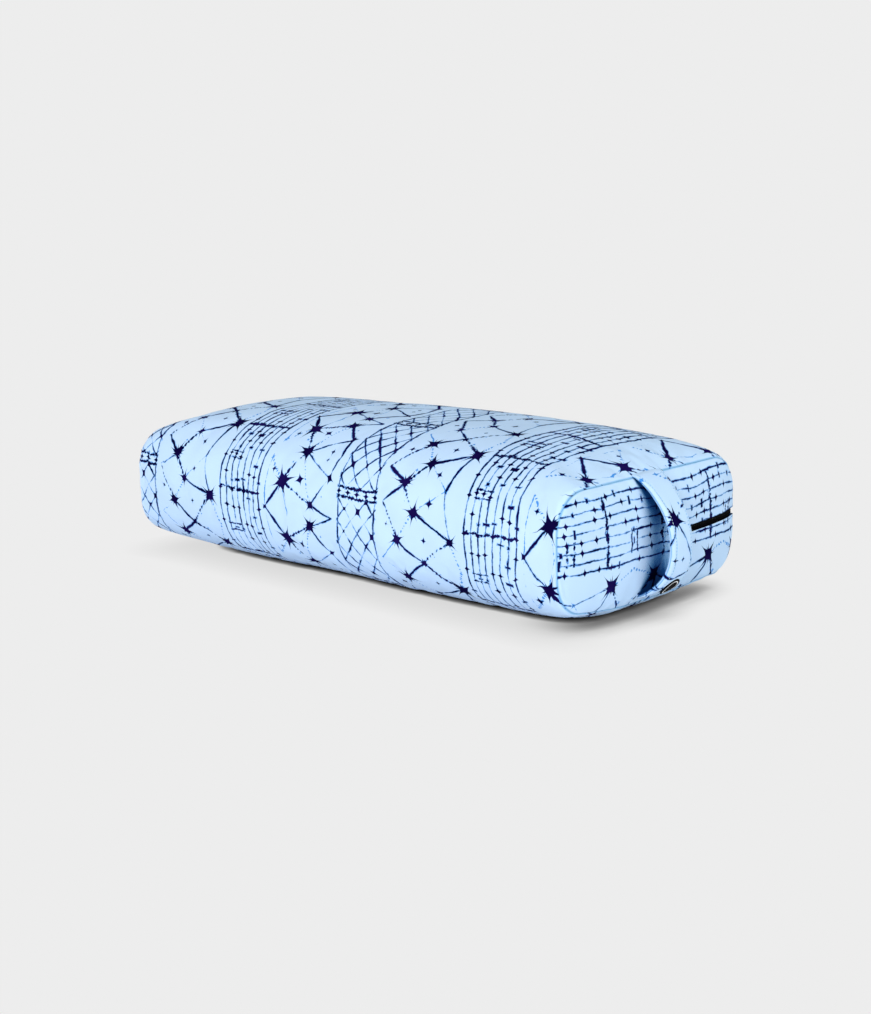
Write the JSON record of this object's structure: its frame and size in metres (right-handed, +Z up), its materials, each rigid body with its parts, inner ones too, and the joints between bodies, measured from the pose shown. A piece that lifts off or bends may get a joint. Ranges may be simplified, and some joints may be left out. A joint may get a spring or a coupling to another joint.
{
  "type": "rectangular yoga bolster",
  "caption": "Rectangular crowned yoga bolster with a removable zipped fabric cover, a carrying loop on one end, and an inner bag of foam and batting.",
  "frame": {"origin": "centre of the flat underside, midway between the two end seams", "axes": "+X along the bolster towards the end with the handle, +Y towards the long side with the zip, +Z up"},
  "size_m": [0.6881, 0.2969, 0.1716],
  "materials": {
    "cover_fabric": "brushed microfibre, pale blue with a dark indigo resist-dyed line print",
    "liner_cloth": "plain undyed cotton",
    "batting_fibre": "matted fibre",
    "foam": "firm open-cell foam",
    "zip_tape": "woven tape",
    "zip_elements": "nylon coil",
    "slider_metal": "black enamel",
    "thread": "overlock and topstitch thread",
    "badge": "plain moulded disc",
    "label": "blank satin label"
  },
  "bodies": {
    "bolster": {"cover_wrap": "cover_fabric", "near_end_panel": "cover_fabric", "far_end_panel": "cover_fabric", "near_seam_allowance": "thread", "far_seam_allowance": "thread", "handle_sleeve": "cover_fabric", "handle_core_top": "batting_fibre", "handle_core_upper": "batting_fibre", "handle_core_lower": "batting_fibre", "handle_core_bottom": "batting_fibre", "handle_badge": "badge", "zipper_tape_upper": "zip_tape", "zipper_tape_lower": "zip_tape", "zipper_coil_upper": "zip_elements", "zipper_coil_lower": "zip_elements", "zipper_stop_near": "slider_metal", "zipper_stop_far": "slider_metal", "liner_wrap": "liner_cloth", "liner_end_near": "liner_cloth", "liner_end_far": "liner_cloth", "batting_wrap": "batting_fibre", "batting_end_near": "batting_fibre", "batting_end_far": "batting_fibre", "crown_pad_top": "batting_fibre", "crown_pad_bottom": "batting_fibre", "foam_core_upper": "foam", "foam_core_lower": "foam", "care_label": "label"},
    "slider": {"zipper_slider": "slider_metal"},
    "pull": {"zipper_pull": "slider_metal"}
  },
  "joints": [
    {"name": "slider_run", "type": "slide", "parent": "bolster", "child": "slider", "axis": [1, 0, 0], "range_m": [0, 0.54]},
    {"name": "pull_flip", "type": "hinge", "parent": "slider", "child": "pull", "pos_m": [-0.2723, 0.1492, 0.078], "axis": [0, 0, 1], "range_deg": [0, 170]}
  ]
}
